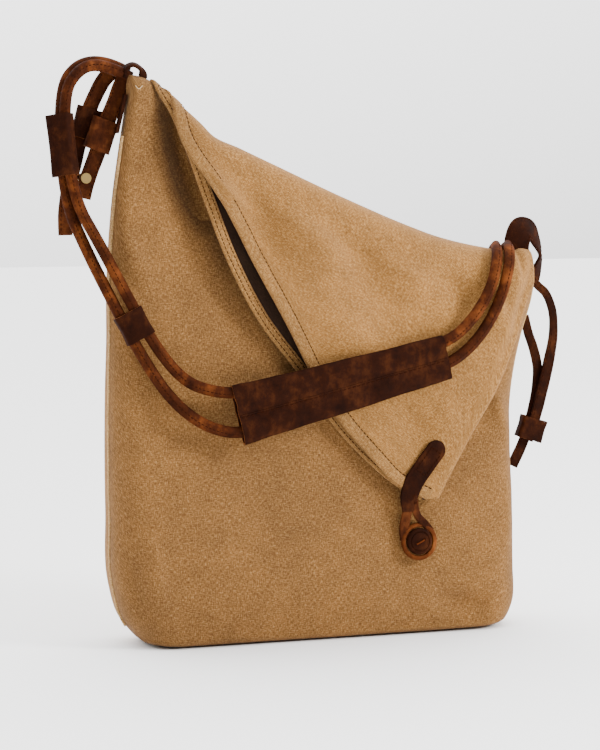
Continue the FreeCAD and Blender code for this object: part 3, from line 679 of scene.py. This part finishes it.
# The inner layer: from the front panel's top over a tight crease and down behind the outer layer.
INNER_COLUMNS, INNER_ROWS, STRIP_ROWS, CREASE_ROWS, CREASE_RADIUS = 120, 110, 10, 8, 1.5
inner_x = np.linspace(-106, 179, INNER_COLUMNS)
crease_z = ridge(inner_x) - 12
strip_z = crease_z[None] - np.linspace(22, 0.0, STRIP_ROWS)[:, None]
held = ease(strip_z - crease_z[None], -9, -1)
off_panel = relief(inner_x, strip_z, -1, 1 - held) - 0.4 * (1 - held)
strip = xyz(inner_x, plane_y(strip_z, off_panel), strip_z)
turned = np.linspace(0, math.pi, CREASE_ROWS + 1)[1:, None]
crease = xyz(inner_x, plane_y(crease_z[None], CREASE_RADIUS - CREASE_RADIUS * np.cos(turned)),
             crease_z[None] + CREASE_RADIUS * np.sin(turned))
inner_top = np.stack([inner_x, crease_z], 1)
layer = patch(inner_top, [tuple(inner_top[0])] + [(x + 3, z) for x, z in INNER_HEM[3:]],
              [tuple(inner_top[-1])] + [(x - 4, z - 1) for x, z in FLAP_RIGHT[::-1][2:]], INNER_ROWS)
inner_stand = 3.0 + 1.2 * np.abs(field(layer[..., 0], layer[..., 1], 60, 41))
hem_side = smooth(INNER_HEM, 200)[::-1]
from_hem = layer[..., 0] - np.interp(layer[..., 1], hem_side[:, 1], hem_side[:, 0])
below_crease = ease(crease_z[None] - layer[..., 1], 0, 14)
inner_stand += mouth_lift(layer[..., 1]) * np.exp(-(from_hem / 24) ** 2) * below_crease
hanging = xyz(layer[..., 0], plane_y(layer[..., 1], inner_stand), layer[..., 1])
inner_grid = np.concatenate([strip, crease, hanging[1:]], 0)
# Seen through the mouth, the inner layer shows the sack's lining, whose near-black tone also paints the
# shade in the gap; its other side is canvas.
row = np.arange(len(inner_grid) - 1)
before_flap = STRIP_ROWS + CREASE_ROWS
lined = np.repeat(row < before_flap, INNER_COLUMNS - 1).astype(int)
in_crease = (row >= STRIP_ROWS - 1) & (row < before_flap)
inner_canvas = cloth("canvas_flap_inner", inner_grid, lining, turn=-43, thickness=1.0, flip=True,
                     backing=canvas, marks=lined, gathered=np.where(in_crease, 7.0, 1.0))
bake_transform(inner_canvas)
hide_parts("fold_inner", "flap_inner")


def normals_along(line, arch_points):
    """Outward facing along a flap edge: radial over the fold, then square to the flap."""
    facing = np.tile(NORMAL, (len(line), 1))
    for i in range(arch_points):
        centre_z = line[arch_points - 1, 2]
        rise = line[i, 2] - centre_z
        away = np.array([-RIDGE_SLOPE_LEFT * rise, line[i, 1] - FOLD_CENTRE, rise])
        facing[i] = away / max(np.linalg.norm(away), 1e-6)
    return facing


# The outer hem starts on top of the fold, comes down the flap's edge and ends at the tip.
HEM_START = 4
hem_line = outer_grid[LAP_ROWS + HEM_START:, 0]
hem_faces = normals_along(hem_line, ARCH_ROWS - HEM_START)
outer_hem = sweep("canvas_hem_outer", hem_line, hem_faces,
                  rounded(10.0, 4.6, 2.2, centre=(4.0, -0.9)), [hem_canvas])
inner_line = smooth([(-134, 0, 461), (-133, -5, 460)] + [
    (x, plane_y(z, 3.8 + mouth_lift(z)) + 2.0 * ease(z, 425, 450), z) for x, z in INNER_HEM[1:]], 170)
on_top = ease(inner_line[:, 2], 446, 458)[:, None]
inner_faces = NORMAL * (1 - on_top) + np.array([0.64, -0.25, 0.73]) * on_top
inner_hem = sweep("canvas_hem_inner", inner_line, inner_faces, rounded(9.4, 3.2, 1.5, centre=(4.2, -0.5)),
                  [hem_canvas])
for piece, node in ((outer_hem, "hem_outer"), (inner_hem, "hem_inner")):
    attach(piece, "flap")
    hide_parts(node)


def shifted(line, face, sideways, out):
    _, side, up = frames(line, face)
    return line + side * sideways + up * out


def sewn(name, line, face, body, material, **shape):
    row = stitch_row(name, line, face, material, **shape)
    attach(row, body)
    return row


sewn("stitches_hem_outer", shifted(hem_line, hem_faces, 8.9, 0.9), hem_faces, "flap", brown_thread)
sewn("stitches_hem_inner_a", shifted(inner_line, inner_faces, 2.4, 1.1), inner_faces, "flap", brown_thread)
sewn("stitches_hem_inner_b", shifted(inner_line, inner_faces, 6.6, 1.1), inner_faces, "flap", brown_thread)

# A pale bar-tack, bent like a crescent, at the high corner.
tack = smooth([(-151.6, -13.2, 455.8), (-149.2, -14.4, 453.2), (-145.6, -13.2, 455.8)], 14)
bar_tack = sweep("bar_tack", tack + np.array([0, -6.0, 0]), (0, -1, 0.2),
                 rounded(0.6, 0.7, 0.28, 3), [pale_thread])
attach(bar_tack, "pouch")

# Seam along the flap's right edge, and the sewn side seams of the pouch.
edge_line = rolled[LAP_ROWS + ARCH_ROWS + 2:, -4]
flap_seam = sweep("canvas_flap_seam", edge_line, NORMAL, rounded(1.5, 1.2, 0.6), [hem_canvas])
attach(flap_seam, "flap")
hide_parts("flap_seam")
SEAM_TOPS = {"left": 416.0, "right": 296.0}
SEAM_BOTTOM = 17
for name, edge, way in (("left", left_edge, -1), ("right", right_edge, 1)):
    heights = np.linspace(SEAM_BOTTOM, SEAM_TOPS[name], 120)
    line = xyz(edge(heights) + way * 0.3, -6.5 + 0.4 * np.sin(heights / 9), heights)
    seam = sweep(f"canvas_side_seam_{name}", line, (way, 0, 0), rounded(2.6, 2.4, 1.2), [seam_canvas])
    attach(seam, "pouch")
    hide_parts(f"side_seam_{name}")

# The inner pocket on the back lining.
pocket_u, pocket_v = np.meshgrid(np.linspace(-75, 75, 40), np.linspace(110, 230, 30))
pocket_sag = np.sin(math.pi * (pocket_v - 110) / 120) * np.sin(math.pi * (pocket_u + 75) / 150)
pocket_y = half_depth(pocket_v) - 5.6 - 1.2 * pocket_sag
inner_pocket = cloth("lining_pocket", xyz(pocket_u, pocket_y, pocket_v), lining, thickness=0.9)
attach(inner_pocket, "pouch")
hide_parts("inner_pocket")

# -------- cords and grip

CORD_ROUTES = {
    "cord_left_upper": [
        (-150, 3, 463), (-169, 0, 472), (-192, -6, 472), (-210, -12, 448), (-203.5, -18, 368),
        (-182, -23, 329), (-164, -30, 292), (-142, -35.5, 250), (-120, -41, 221), (-98, -46, 211.5),
        (-72, -49, 209.5), (-46, -49, 214.8)],
    "cord_left_lower": [
        (-150, 11, 467), (-167, 10, 476), (-194, 3, 474), (-211, -5, 451), (-209, -12, 366),
        (-192, -17, 325), (-175, -27, 287), (-153, -33, 243), (-130, -39, 206), (-103, -46, 183),
        (-71, -49, 175.5), (-46, -49, 182.7)],
    "cord_right_upper": [
        (76, -49, 239.3), (104, -49, 245), (128, -47, 264), (147, -42, 290), (155, -35, 314),
        (162, -15, 326.5), (168, 5, 321)],
    "cord_right_lower": [
        (76, -49, 218.1), (106, -49, 227), (133, -47, 247), (154, -41, 276), (164, -40, 308),
        (172, -18, 328), (178, 5, 321)],
}
CORD_RADIUS = 3.75


def spline_points(name, points):
    """The cord's own line, read from a spline through the route."""
    curve = bpy.data.curves.new(name + "_line", "CURVE")
    curve.dimensions = "3D"
    curve.resolution_u = 16
    spline = curve.splines.new("NURBS")
    spline.points.add(len(points) - 1)
    for target, point in zip(spline.points, points):
        target.co = (*[c * MM for c in point], 1)
    spline.order_u = 3
    spline.use_endpoint_u = True
    holder = linked(name + "_line", curve)
    bpy.context.view_layer.update()
    made = bpy.data.meshes.new_from_object(holder)
    line = np.array([v.co for v in made.vertices], float) / MM
    bpy.data.objects.remove(holder)
    bpy.data.meshes.remove(made)
    return line


def even(line, step):
    run = run_along(line)
    return at_run(line, run, np.linspace(0, run[-1], int(run[-1] / step) + 1))


for name, route in CORD_ROUTES.items():
    left = "left" in name
    line = even(spline_points(name, route), 2.0)
    turn = np.linspace(0, 2 * math.pi, 21)[:-1]
    # A folded leather cord: round, with the sewn edge standing a little proud on the front.
    ring = np.stack([np.cos(turn), np.sin(turn)], 1) * CORD_RADIUS
    ring *= np.array([1.27, 1.02])
    face = np.array([0.25, -0.95, -0.1]) if left else np.array([-0.2, -0.97, 0.0])
    tube = sweep(name + "_leather", line, face, ring, [cord_leather])
    _, side, up = frames(line, face)
    seam_line = line + (side * -0.30 + up * 0.95) * CORD_RADIUS
    row = stitch_row("stitches_" + name, seam_line, face, brown_thread, length=2.5, gap=0.9, radius=0.42)
    for piece in (tube, row):
        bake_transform(piece)
    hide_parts(name)

# The grip: leather wrapped round both pairs of cord ends and sewn along the middle of its front.
GRIP_ROWS = 90
grip_line = smooth([(-75, -49, 192), (14, -49, 212.5), (103, -49, 234)], GRIP_ROWS)
share = np.linspace(0, 1, GRIP_ROWS)
half_height = (24.5 + (18.5 - 24.5) * share) + 0.8 * field(share * 180, 0 * share, 30, 51)
turn = np.linspace(0, 2 * math.pi, 49)[:-1]
across = np.sign(np.cos(turn)) * np.abs(np.cos(turn)) ** 0.85
thick = np.sign(np.sin(turn)) * np.abs(np.sin(turn)) ** 0.62
thick *= 5.6 * (1 - 0.26 * np.exp(-(across / 0.30) ** 2))
profile = np.stack([across, thick], 1)
tangent, side, up = frames(grip_line, (0, -1, 0))
rings = (grip_line[:, None] + side[:, None] * (profile[None, :, 0] * half_height[:, None])[..., None]
         + up[:, None] * (profile[None, :, 1, None]))
rings += up[:, None] * (0.35 * field(share[:, None] * 160, across[None] * 22, 14, 53))[..., None]
uneven = 1.1 * field(across * 25, 0 * across, 12, 55)
rings[0] -= tangent[0] * (1.0 + uneven)[:, None]
rings[-1] += tangent[-1] * (1.0 + uneven)[:, None]
inner_rings = grip_line[:, None] + (rings - grip_line[:, None]) * np.array([0.94, 0.72, 0.94])
verts = np.concatenate([rings.reshape(-1, 3), inner_rings.reshape(-1, 3)])
faces, marks = wall_faces(GRIP_ROWS, len(turn))
grip = mesh_object("grip_leather", verts, faces, [dark_leather, raw_edge], marks)
tidy_normals(grip)
middle = grip_line + up * 4.35
seam_side = side * -0.6
grip_edge = sweep("grip_edge", middle + seam_side, (0, -1, 0), rounded(1.1, 1.0, 0.5), [dark_leather])
below_edge = side * (2.2 if side[0, 2] < 0 else -2.2)
grip_rows = stitch_row("stitches_grip", middle + below_edge, (0, -1, 0), brown_thread,
                       length=2.8, gap=1.4, radius=0.4, lift=0.2)
for piece in (grip, grip_edge, grip_rows):
    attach(piece, "handle")
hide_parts("grip")

# -------- keepers

KEEPERS = {
    # name: centre, axis, wide direction, inner width, inner depth, length, body, leather
    "keeper_long": (
        (-209.6, -12.0, 408.5), (0.087, -0.0719, -0.9936), (0.76, -0.65, 0), 15.6, 9.6, 49,
        "long_keeper", dark_leather),
    "keeper_square": (
        (-157, -31.8, 265), (0.4524, -0.1182, -0.8839), (0.89, 0, 0.45), 19.5, 9.1, 24,
        "square_keeper", dark_leather),
    "keeper_front_tail": (
        (-174.2, 4.8, 416.5), (-0.3435, 0, -0.9392), (0.93, 0, -0.36), 17.5, 4.4, 26,
        "front_tail_keeper", strap_leather),
    "keeper_rear_tail": (
        (-184.8, 12.8, 426), (-0.2873, 0, -0.9578), (0.96, 0, -0.29), 16.5, 3.8, 25,
        "rear_tail_keeper", dark_leather),
    "keeper_right": (
        (206.5, 11, 164), (-0.306, 0, -0.952), (0.95, 0, -0.31), 19.2, 7.5, 19,
        "right_keeper", dark_leather),
}
WALL = 1.9


def keeper(name, centre, axis, wide, width, depth, length, body, leather):
    centre, axis, wide = (np.array(v, float) for v in (centre, axis, wide))
    axis = unit(axis)
    wide = unit(wide - (wide @ axis) * axis)
    deep = np.cross(axis, wide)
    outer = rounded(width + 2 * WALL, depth + 2 * WALL, 3.2, 6)
    inner = rounded(width, depth, 2.0, 6)
    rows = 14
    t = np.linspace(-0.5, 0.5, rows)
    wobble = 1 + 0.02 * field(t * 60, 0 * t, 20, len(name)) + 0.02 * (1 - np.cos(t * 2 * math.pi))
    verts = []
    for ring, grow in ((outer, wobble), (inner, np.ones(rows))):
        slant = 0.6 * field(ring[:, 0], ring[:, 1], 9, len(name) + 1)
        for i in range(rows):
            end = slant * (1 if i in (0, rows - 1) else 0)
            verts.append(centre + wide * (ring[:, :1] * grow[i]) + deep * (ring[:, 1:] * grow[i])
                         + axis * (t[i] * length + end)[:, None])
    faces, marks = wall_faces(rows, len(outer))
    made = mesh_object(name + "_leather", np.concatenate(verts), faces, [leather, raw_edge], marks)
    tidy_normals(made)
    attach(made, body)
    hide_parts(name)


for name, facts in KEEPERS.items():
    keeper(name, *facts)

# -------- flat straps

def upright(y, *points):
    """The line of a strap that lies in one upright plane."""
    return [(x, y, z) for x, z in points]


STRAP_POINTS = 70
STRAPS = {
    # name: centre line (x, y, z), facing, widths along it, thickness, leather
    "left_tail_front": (
        upright(4.8, (-152, 466), (-157.5, 456), (-162, 444), (-169, 428), (-176.5, 405),
                (-183.5, 387), (-187.5, 376), (-190, 366)),
        (0, -1, 0), [13.5, 13.5], 2.5, strap_leather),
    "left_tail_rear": (
        upright(12.7, (-160, 470), (-168, 463), (-177, 448), (-185.5, 427), (-190, 412),
                (-195, 392), (-200, 372), (-202.5, 352), (-202.5, 336)),
        (0.15, -1, 0), [13.0, 12.5, 12.0], 2.5, strap_leather),
    "left_anchor_loop": (
        [(-157, 1, 463), (-155, 0, 470), (-149, -1, 473), (-143, -1, 470), (-139.5, 0, 461)],
        (-0.2, -0.3, 1), [7.0, 8.5, 7.0], 2.6, dark_leather),
    "right_loop": (
        [(186, -2, 316), (188, 1, 328), (194, 4, 337.5), (202, 7, 337), (208.5, 10, 328),
         (213.5, 11, 314), (211, 12, 302), (207, 11, 290)],
        [(-0.3, -0.95, 0.1), (-0.35, -0.9, 0.3), (-0.1, -0.85, 0.5), (0.3, -0.8, 0.5),
         (0.75, -0.65, 0.2), (0.9, -0.4, 0), (0.7, -0.7, 0), (0.3, -0.95, 0)],
        [21, 22, 21, 17, 15, 11], 2.6, dark_leather),
    "right_strap_outer": (
        upright(9.2, (206, 294), (211, 288), (217, 283), (224, 269), (226, 249), (222, 223),
                (216, 198), (211, 178), (203, 154)),
        (0.1, -1, 0), [7, 7.5, 8, 10, 11, 10, 9], 2.5, dark_leather),
    "right_strap_inner": (
        upright(12.7, (200, 262), (204, 247), (208.5, 235), (213, 215), (212, 198), (208, 178),
                (201, 155), (190, 132)),
        (0, -1, 0), [8, 9, 9.5], 2.5, dark_leather),
}
for name, (points, facing, width, thickness, leather) in STRAPS.items():
    line = smooth(points, STRAP_POINTS)
    if isinstance(facing, list):
        facing = smooth(facing, STRAP_POINTS)
    spread = np.interp(np.linspace(0, 1, STRAP_POINTS), np.linspace(0, 1, len(width)), width)
    spread *= 1 + 0.03 * field(line[:, 0], line[:, 2], 14, len(name))
    scale = np.stack([spread / max(width), np.ones(STRAP_POINTS)], 1)
    strap = sweep(name + "_leather", line, facing, rounded(max(width), thickness, 0.9, 3),
                  [leather, raw_edge], scale=scale, edge_material=1)
    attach(strap, "pouch")
    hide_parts(name)
    if name != "left_anchor_loop":
        inset = (spread / 2 - 2.0)[:, None]
        for k, way in enumerate((-1, 1)):
            row = stitch_row(f"stitches_{name}_{k}", shifted(line, facing, way * inset, thickness / 2),
                             facing, brown_thread, length=2.4, gap=1.3, radius=0.4)
            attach(row, "pouch")

# -------- closure

BUTTON_AT = (83, 80)
TAB = [(97, 156), (86, 142.5), (76, 129), (72.5, 118), (72.5, 106)]
TAB_OFFSETS = [13.2, 13.2, 13.6, 12.6, 9.2]
TAB_WIDTH, TAB_POINTS, TAB_THICKNESS = 17.0, 50, 2.6


def on_front(points, offsets):
    return [(x, plane_y(z, o), z) for (x, z), o in zip(points, offsets)]


def closure_tab():
    """The tab: a rounded end sewn on the flap, then a band that bends down over the flap's edge."""
    line = smooth(on_front(TAB, TAB_OFFSETS), TAB_POINTS)
    ahead = unit(line[1] - line[0])
    reach = np.linspace(0, 1, 10)[:-1]
    lead = line[0] - ahead * (TAB_WIDTH / 2) * (1 - reach[:, None])
    rounding = np.sqrt(np.clip(1 - (1 - reach) ** 2, 0.02, 1))
    tapered = np.interp(np.linspace(0, 1, TAB_POINTS), [0, 0.55, 0.8, 1], [1, 1, 0.9, 0.58])
    widths = np.concatenate([rounding, tapered])
    line = np.concatenate([lead, line])
    scale = np.stack([widths, np.ones(len(widths))], 1)
    return sweep("closure_tab_leather", line, NORMAL, rounded(TAB_WIDTH, TAB_THICKNESS, 1.1, 4),
                 [dark_leather, raw_edge], scale=scale, edge_material=1)


tab = closure_tab()
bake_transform(tab)
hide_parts("tab_anchor")
# Below its slit the tab goes on as two strands, one to each side of the ring.
STRANDS = {
    "left": ([(73, 112), (72, 104), (70.5, 97), (70, 90), (71, 82)], [9.6, 8.2, 7.0, 6.0, 5.0], 8.6),
    "right": ([(77.5, 116), (79, 108), (82, 101), (88, 95), (94, 88)], [11.4, 9.4, 7.8, 6.6, 5.2], 6.4),
}
for name, (points, offsets, width) in STRANDS.items():
    strand = sweep(f"closure_strand_{name}", smooth(on_front(points, offsets), 36), NORMAL,
                   rounded(width, TAB_THICKNESS, 1.2, 4), [strap_leather])
    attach(strand, "closure_tab")
# The slit is a thin dark bar laid on the tab: painted shade for a cut that is not made in the leather.
slit = sweep("closure_slit_shade", smooth(on_front([(76.5, 120), (78.2, 112.5)], [14.2, 12.3]), 8), NORMAL,
             rounded(3.0, 0.6, 0.25, 3), [brown_thread])
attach(slit, "closure_tab")
stitched = np.array([(0.5, 0.52), (-0.5, 0.52), (-0.5, -0.5), (0.5, -0.5), (0.5, 0.52)])
centre = np.array([90.0, 147.0])
way = unit([22, 27])
square = np.array([way[1], -way[0]])
corners = [centre + square * a * 10.0 + way * b * 22.0 for a, b in stitched]
sides = [np.linspace(a, b, 12)[:-1] for a, b in zip(corners, corners[1:])]
outline = np.concatenate(sides + [[corners[-1]]])
tab_stitches = xyz(outline[:, 0], plane_y(outline[:, 1], 14.8), outline[:, 1])
sewn("stitches_tab", tab_stitches, NORMAL, "flap", brown_thread, length=2.2, gap=1.0, radius=0.4)


def lathe(name, centre, profile, materials, steps=64):
    """A round piece about the front plane's normal at a point; profile is (radius, height) pairs."""
    normal = unit(NORMAL)
    across = np.array([1.0, 0, 0])
    other = np.cross(normal, across)
    a = np.linspace(0, 2 * math.pi, steps + 1)[:-1]
    circle = across * np.cos(a)[:, None] + other * np.sin(a)[:, None]
    rings = [centre + circle * r + normal * h for r, h in profile]
    faces = grid_faces(len(profile), steps, wrap=True)
    obj = mesh_object(name, np.concatenate(rings), faces, materials)
    tidy_normals(obj)
    return obj


def at_button(offset):
    return np.array([BUTTON_AT[0], plane_y(BUTTON_AT[1], offset), BUTTON_AT[1]], float)


button_centre = at_button(4.6)
disc = lathe("button_leather", button_centre, [
    (0.01, 0), (9.6, 0), (11.0, 0.6), (11.3, 1.8), (10.9, 3.4), (9.8, 4.3), (8.6, 4.3), (8.2, 3.8),
    (7.8, 3.8), (7.4, 4.4), (4.0, 4.7), (0.01, 4.8)], [dark_leather])
ring = lathe("closure_ring_leather", at_button(4.0), [
    (11.9, 0.6), (12.4, 0.0), (14.6, 0.0), (15.7, 0.8), (15.9, 1.9), (15.4, 3.0), (13.8, 3.6),
    (12.4, 3.2), (11.8, 1.8), (11.9, 0.6)], [ring_leather])
backing = lathe("button_backing_leather", at_button(-5.0), [
    (0.01, 0), (7.6, 0), (8.0, 0.4), (8.0, 1.1), (7.6, 1.5), (0.01, 1.5)], [dark_leather])
for piece, body, node in ((disc, "pouch", "button_disc"), (ring, "closure_tab", "tab_loop"),
                          (backing, "pouch", "button_backing")):
    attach(piece, body)
    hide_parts(node)
HOLE = np.array([3.4, 0, 1.7])
# Each hole is a small dark disc on the button's face: painted shade for a hole that is not cut through.
for k, way in enumerate((-1, 1)):
    hole = lathe(f"button_hole_shade_{k}", button_centre + way * HOLE, [(1.3, 4.9), (1.0, 4.75), (0.01, 4.7)],
                 [brown_thread], 20)
    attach(hole, "pouch")
# The thread bows forward from one hole to the other.
bow = -5.2 - 0.5 * np.sin(np.linspace(0, math.pi, 9))
thread_line = np.linspace(-HOLE, HOLE, 9) + bow[:, None] * np.array([0, 1, 0]) + button_centre
sewing = sweep("button_thread_top", thread_line, NORMAL, rounded(1.2, 0.9, 0.4, 3), [rust_thread])
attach(sewing, "pouch")

# -------- what stays as the CAD has it, repainted

for node, material in (("tail_rivet", brass), ("button_thread", rust_thread),
                       ("left_anchor_patch", dark_leather), ("right_anchor_patch", dark_leather)):
    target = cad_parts[node]
    for slot in target.material_slots:
        slot.material = material

# -------- camera, floor, light

def aimed(name, data, place, direction, axis):
    """An object at a place in metres, with the given axis of its own along a direction."""
    obj = linked(name, data)
    obj.location = place
    obj.rotation_mode = "QUATERNION"
    obj.rotation_quaternion = direction.to_track_quat(axis, "Y")
    return obj


scene = bpy.context.scene
AZIMUTH, ELEVATION, DISTANCE = math.radians(-18), math.radians(5.5), 2.0
backwards = Vector((math.sin(AZIMUTH) * math.cos(ELEVATION), -math.cos(AZIMUTH) * math.cos(ELEVATION),
                    math.sin(ELEVATION)))
right_way = Vector((math.cos(AZIMUTH), math.sin(AZIMUTH), 0))
up_way = backwards.cross(right_way)
aim = Vector((0, 0, 0.220)) - right_way * 0.007 - up_way * 0.0022
camera_data = bpy.data.cameras.new("camera")
camera_data.lens = 115.2
camera_data.sensor_width = 36
scene.camera = aimed("camera", camera_data, aim + backwards * DISTANCE, backwards, "Z")

FLOOR_CORNERS = np.array([(-1, -1, 0), (1, -1, 0), (1, 1, 0), (-1, 1, 0)]) * 6000
floor = mesh_object("floor", FLOOR_CORNERS, [(0, 1, 2, 3)],
                    [plain_material("floor", (0.93, 0.93, 0.93), 0.9)])
world = bpy.data.worlds.new("studio")
world.use_nodes = True
tree = world.node_tree
background = next(n for n in tree.nodes if n.type == "BACKGROUND")
# A bright backdrop behind the bag, and a dim studio in front of it.
split = add(tree, "ShaderNodeVectorMath", operation="DOT_PRODUCT")
split.inputs[1].default_value = (0, 0.5, 0.87)
direction = add(tree, "ShaderNodeTexCoord")
tree.links.new(direction.outputs["Generated"], split.inputs[0])
glow = add(tree, "ShaderNodeMapRange", interpolation_type="SMOOTHSTEP")
set_inputs(glow, From_Min=0.05, From_Max=0.85, To_Min=0.16, To_Max=4.9)
tree.links.new(split.outputs["Value"], glow.inputs["Value"])
tree.links.new(glow.outputs["Result"], background.inputs["Strength"])
set_inputs(background, Color=(1, 1, 1, 1))
scene.world = world


def area_light(name, place, target, size, power):
    data = bpy.data.lights.new(name, "AREA")
    data.size = size
    data.energy = power
    aimed(name, data, place, Vector(target) - Vector(place), "-Z")


area_light("key", (1.55, -1.15, 1.0), (0.02, 0, 0.24), 0.6, 62)
area_light("fill", (-1.5, -1.9, 0.9), (0, 0, 0.22), 1.4, 5)
